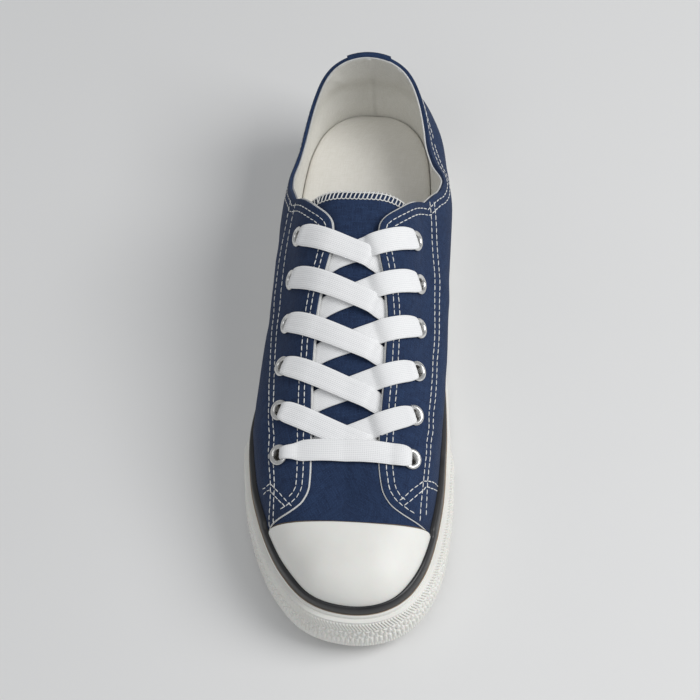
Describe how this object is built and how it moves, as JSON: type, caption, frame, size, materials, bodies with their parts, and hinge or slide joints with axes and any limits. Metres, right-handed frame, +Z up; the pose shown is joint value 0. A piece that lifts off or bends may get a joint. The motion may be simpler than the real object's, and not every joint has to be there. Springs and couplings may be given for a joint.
{
  "type": "canvas sneaker",
  "caption": "Low-top canvas sneaker for the right foot with a rubber toe cap, a ribbed toe bumper, a wrapped rubber foxing and a flat lace through metal eyelets.",
  "frame": {"origin": "middle of the bounding box's footprint, on the floor under the sole", "axes": "-Y towards the toe, +Y towards the heel, +X towards the inner side of the foot, +Z up"},
  "size_m": [0.0919, 0.2697, 0.086],
  "materials": {
    "canvas": "woven canvas",
    "white_rubber": "satin",
    "black_rubber": "satin",
    "insole_cloth": "fine cotton",
    "lace": "flat woven cotton",
    "eyelet_metal": "plated"
  },
  "bodies": {
    "root": {"outsole": "white_rubber", "insole": "insole_cloth", "upper": "canvas", "toe_cap": "white_rubber", "heel_stay": "canvas", "tongue": "canvas", "foxing_band": "white_rubber", "foxing_stripe": "black_rubber", "toe_bumper": "white_rubber", "eyelet_1_lateral": "eyelet_metal", "eyelet_1_medial": "eyelet_metal", "eyelet_2_lateral": "eyelet_metal", "eyelet_2_medial": "eyelet_metal", "eyelet_3_lateral": "eyelet_metal", "eyelet_3_medial": "eyelet_metal", "eyelet_4_lateral": "eyelet_metal", "eyelet_4_medial": "eyelet_metal", "eyelet_5_lateral": "eyelet_metal", "eyelet_5_medial": "eyelet_metal", "eyelet_6_lateral": "eyelet_metal", "eyelet_6_medial": "eyelet_metal", "lace_bar": "lace", "lace_crossing_1": "lace", "lace_crossing_2": "lace", "lace_crossing_3": "lace", "lace_crossing_4": "lace", "lace_crossing_5": "lace"}
  },
  "joints": []
}
